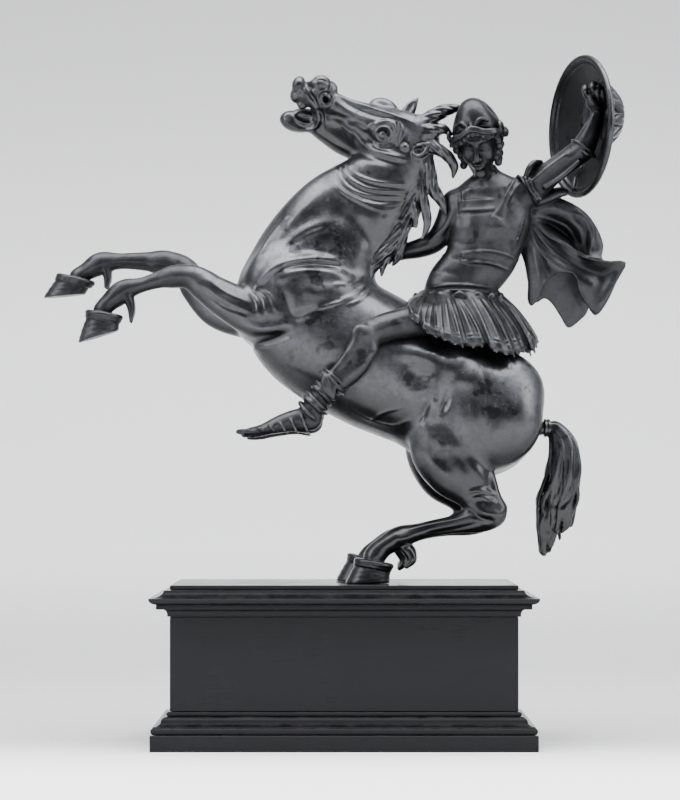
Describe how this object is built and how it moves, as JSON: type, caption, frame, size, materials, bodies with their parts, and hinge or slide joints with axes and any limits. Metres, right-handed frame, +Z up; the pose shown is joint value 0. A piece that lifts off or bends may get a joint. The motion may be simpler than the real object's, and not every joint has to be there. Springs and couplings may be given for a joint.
{
  "type": "equestrian statuette",
  "caption": "Bronze statuette of a helmeted rider with raised round shield on a rearing horse, built together with its moulded rectangular wooden plinth.",
  "frame": {"origin": "centre of the plinth's underside", "axes": "+Z up, +X from the horse's head towards its tail, +Y towards the rider's right-hand side"},
  "size_m": [0.4399, 0.1494, 0.5136],
  "materials": {
    "bronze": "dark brown-black patina, half gloss",
    "ebonised_wood": "ebonised, satin"
  },
  "bodies": {
    "root": {"horse": "bronze", "horse_tail": "bronze", "rider": "bronze", "shield": "bronze", "plinth_foot": "ebonised_wood", "plinth_base_moulding": "ebonised_wood", "plinth_die": "ebonised_wood", "plinth_cornice": "ebonised_wood", "plinth_top_slab": "ebonised_wood"}
  },
  "joints": []
}
